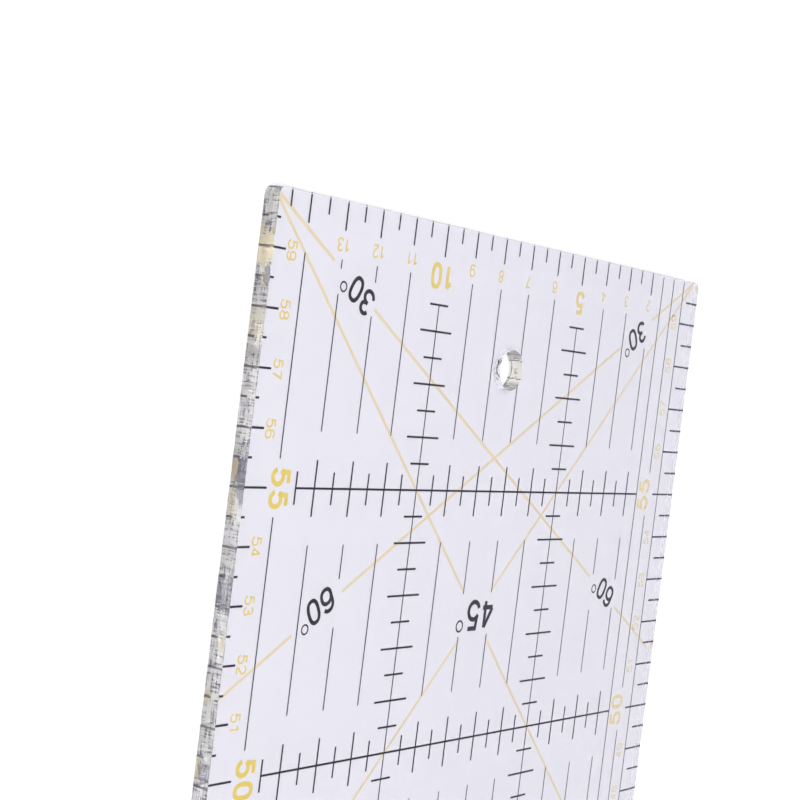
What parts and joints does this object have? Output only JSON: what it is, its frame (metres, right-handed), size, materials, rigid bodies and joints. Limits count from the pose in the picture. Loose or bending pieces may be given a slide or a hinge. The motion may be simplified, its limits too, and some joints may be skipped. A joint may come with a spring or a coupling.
{
  "type": "quilting ruler",
  "caption": "Clear acrylic quilting ruler, 60 x 15 cm, with a black centimetre grid, yellow 30, 45 and 60 degree angle lines and a hanging hole near one end.",
  "frame": {"origin": "under the ruler's centre, level with the lowest film of ink on its back, so the ruler lies flat on z = 0", "axes": "+X along the ruler towards the end with the hole (the 60 cm end), +Y across it towards the 15 cm edge, +Z out of its face"},
  "size_m": [0.6, 0.15, 0.0034],
  "materials": {
    "clear_acrylic": "polished",
    "black_ink": "satin",
    "yellow_ink": "satin"
  },
  "bodies": {
    "root": {"acrylic_sheet": "clear_acrylic", "black_measuring_grid": "black_ink", "black_margin_line": "black_ink", "yellow_far_angle_crossing": "yellow_ink", "yellow_far_45_leg_from_left": "yellow_ink", "yellow_far_45_leg_from_right": "yellow_ink", "yellow_far_30_tail_from_left": "yellow_ink", "yellow_far_30_tail_from_right": "yellow_ink", "yellow_near_angle_crossing": "yellow_ink", "yellow_near_45_leg_from_left": "yellow_ink", "yellow_near_45_leg_from_right": "yellow_ink", "yellow_near_30_tail_from_left": "yellow_ink", "yellow_near_30_tail_from_right": "yellow_ink"}
  },
  "joints": []
}
